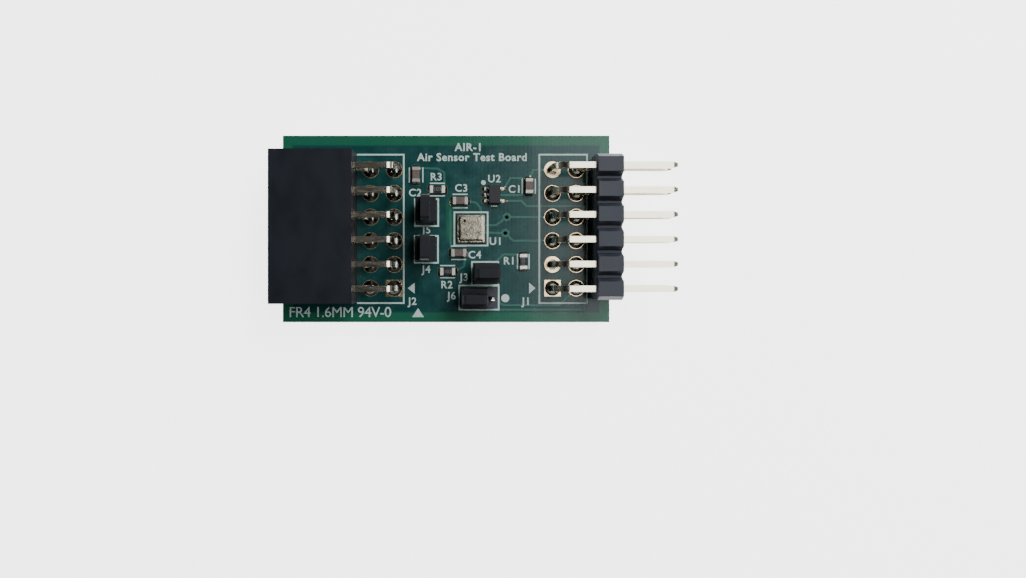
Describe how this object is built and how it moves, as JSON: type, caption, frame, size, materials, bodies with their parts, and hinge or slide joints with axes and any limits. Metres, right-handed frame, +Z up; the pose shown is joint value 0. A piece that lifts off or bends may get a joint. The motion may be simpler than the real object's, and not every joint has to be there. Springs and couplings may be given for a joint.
{
  "type": "plug-in sensor board",
  "caption": "Small green plug-in sensor board: right-angle socket at one end, right-angle pins at the other, a metal-lidded air sensor and black pull-off jumper shunts.",
  "frame": {"origin": "below the middle of the whole part, level with the lowest pin tips", "axes": "+X from the socket towards the plug pins, +Y across the board, +Z up out of the component side"},
  "size_m": [0.0418, 0.02, 0.011],
  "materials": {
    "laminate": "glass-fibre laminate, cut edge",
    "solder_mask": "dark green solder mask, satin gloss",
    "legend": "pale screen-printed ink",
    "gold_plate": "thin gold flash over copper",
    "socket_plastic": "black moulded polyester, fine matte",
    "header_plastic": "black moulded polyester, fine matte",
    "shunt_plastic": "black moulded polyester",
    "spring_brass": "sprung contact strip",
    "tin_pins": "bright tin-plated square wire",
    "tail_metal": "dull tin-plated strip",
    "solder": "bright solder",
    "capacitor_ceramic": "brown-grey fired ceramic",
    "alumina": "white alumina",
    "resistor_coat": "black glass coat",
    "lid_metal": "drawn nickel-silver lid, satin",
    "silicon": "polished silicon",
    "ic_plastic": "black mould compound"
  },
  "bodies": {
    "board": {"C1_ceramic": "capacitor_ceramic", "C1_terminals": "solder", "C2_ceramic": "capacitor_ceramic", "C2_terminals": "solder", "C3_ceramic": "capacitor_ceramic", "C3_terminals": "solder", "C4_ceramic": "capacitor_ceramic", "C4_terminals": "solder", "J1_housing": "header_plastic", "J1_pins_lower": "tin_pins", "J1_pins_upper": "tin_pins", "J1_solder": "solder", "J2_contacts_lower": "tail_metal", "J2_contacts_upper": "tail_metal", "J2_housing": "socket_plastic", "J2_solder": "solder", "J3_base": "header_plastic", "J3_pins": "tin_pins", "J4_base": "header_plastic", "J4_pins": "tin_pins", "J5_base": "header_plastic", "J5_pins": "tin_pins", "J6_base": "header_plastic", "J6_pins": "tin_pins", "R1_ceramic": "alumina", "R1_coat": "resistor_coat", "R1_terminals": "solder", "R2_ceramic": "alumina", "R2_coat": "resistor_coat", "R2_terminals": "solder", "R3_ceramic": "alumina", "R3_coat": "resistor_coat", "R3_terminals": "solder", "U1_bond_wires": "gold_plate", "U1_dies": "silicon", "U1_lid": "lid_metal", "U1_substrate": "laminate", "U2_body": "ic_plastic", "U2_leads": "solder", "board_laminate": "laminate", "chip_solder": "solder", "copper_bottom": "gold_plate", "copper_top": "gold_plate", "jumper_solder": "solder", "legend_bottom": "legend", "legend_top": "legend", "plated_barrels": "gold_plate", "solder_mask_bottom": "solder_mask", "solder_mask_top": "solder_mask"},
    "J3_shunt": {"J3_shunt_housing": "shunt_plastic", "J3_shunt_clip": "spring_brass"},
    "J4_shunt": {"J4_shunt_housing": "shunt_plastic", "J4_shunt_clip": "spring_brass"},
    "J5_shunt": {"J5_shunt_housing": "shunt_plastic", "J5_shunt_clip": "spring_brass"},
    "J6_shunt": {"J6_shunt_housing": "shunt_plastic", "J6_shunt_clip": "spring_brass"}
  },
  "joints": [
    {"name": "J3_shunt_pull", "type": "slide", "parent": "board", "child": "J3_shunt", "axis": [0, 0, 1], "range_m": [0, 0.008]},
    {"name": "J4_shunt_pull", "type": "slide", "parent": "board", "child": "J4_shunt", "axis": [0, 0, 1], "range_m": [0, 0.008]},
    {"name": "J5_shunt_pull", "type": "slide", "parent": "board", "child": "J5_shunt", "axis": [0, 0, 1], "range_m": [0, 0.008]},
    {"name": "J6_shunt_pull", "type": "slide", "parent": "board", "child": "J6_shunt", "axis": [0, 0, 1], "range_m": [0, 0.008]}
  ]
}
